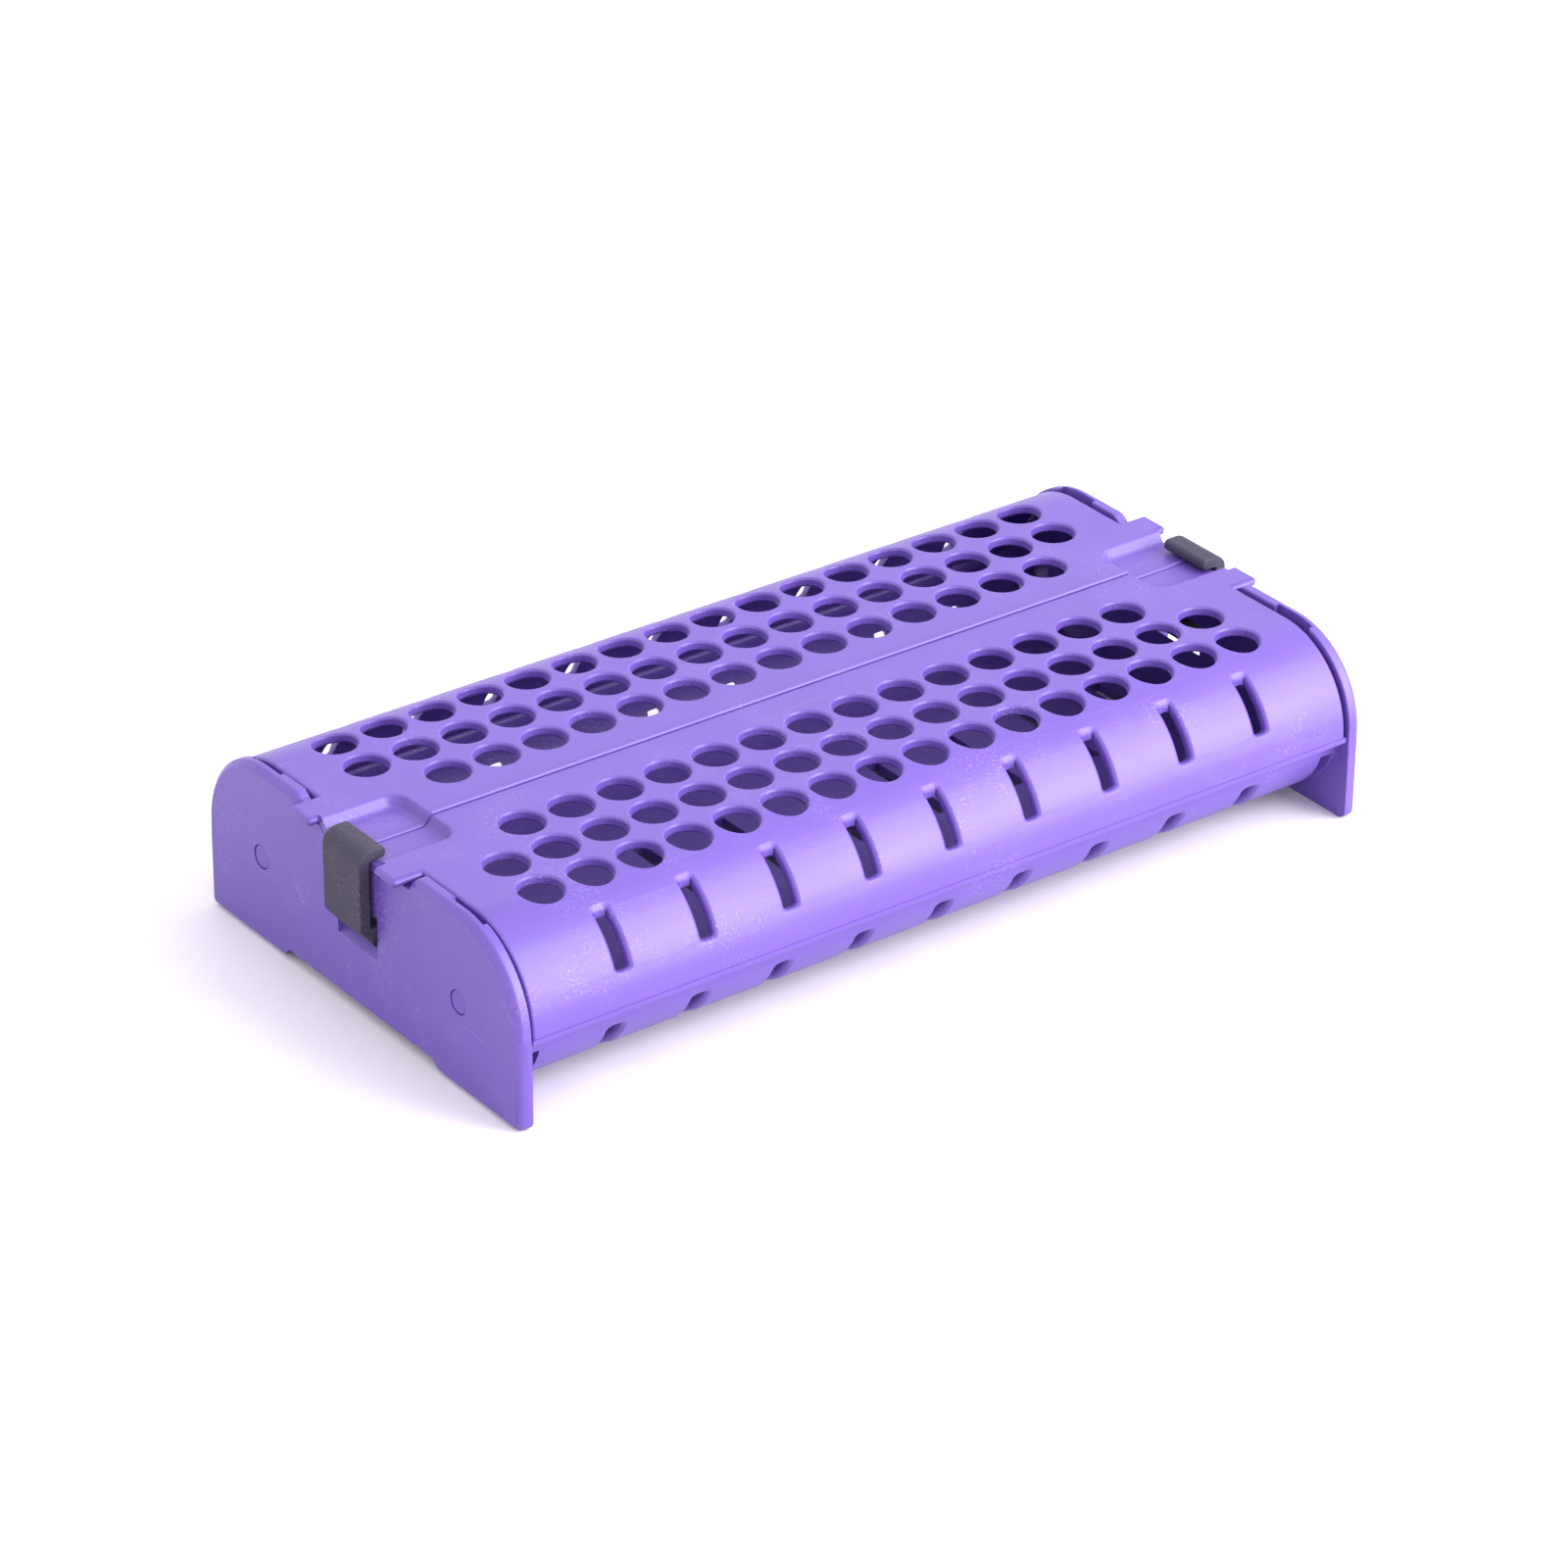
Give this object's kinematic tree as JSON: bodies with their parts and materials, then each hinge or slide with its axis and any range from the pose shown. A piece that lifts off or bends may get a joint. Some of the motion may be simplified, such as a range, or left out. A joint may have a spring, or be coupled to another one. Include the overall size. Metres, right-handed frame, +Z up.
{
  "type": "instrument organizer",
  "caption": "Perforated sterilisation cassette for hand instruments: double-trough base, two roll-open half lids and a hook latch at each end.",
  "frame": {"origin": "centre of the footprint, on the surface that the feet stand on", "axes": "+X along the length towards the right end plate, +Y towards the rear lid, +Z up"},
  "size_m": [0.2116, 0.106, 0.039],
  "materials": {
    "violet_plastic": "satin moulded plastic",
    "grey_plastic": "matte moulded plastic",
    "pin_plastic": "satin moulded plastic",
    "pin_steel": "drawn stainless wire"
  },
  "bodies": {
    "base": {"base": "violet_plastic", "front_left_hinge_pin": "pin_plastic", "rear_left_hinge_pin": "pin_plastic", "front_right_hinge_pin": "pin_plastic", "rear_right_hinge_pin": "pin_plastic", "left_latch_pin": "pin_steel", "right_latch_pin": "pin_steel"},
    "rear_lid": {"rear_lid": "violet_plastic"},
    "front_lid": {"front_lid": "violet_plastic"},
    "right_latch": {"right_latch": "grey_plastic"},
    "left_latch": {"left_latch": "grey_plastic"}
  },
  "joints": [
    {"name": "rear_lid_hinge", "type": "hinge", "parent": "base", "child": "rear_lid", "pos_m": [0, 0.0336, 0.0192], "axis": [-1, 0, 0], "range_deg": [0, 110]},
    {"name": "front_lid_hinge", "type": "hinge", "parent": "base", "child": "front_lid", "pos_m": [0, -0.0336, 0.0192], "axis": [1, 0, 0], "range_deg": [0, 110]},
    {"name": "right_latch_swing", "type": "hinge", "parent": "base", "child": "right_latch", "pos_m": [0.1008, 0, 0.0201], "axis": [0, 1, 0], "range_deg": [0, 90]},
    {"name": "left_latch_swing", "type": "hinge", "parent": "base", "child": "left_latch", "pos_m": [-0.1008, 0, 0.0201], "axis": [0, -1, 0], "range_deg": [0, 90]}
  ]
}
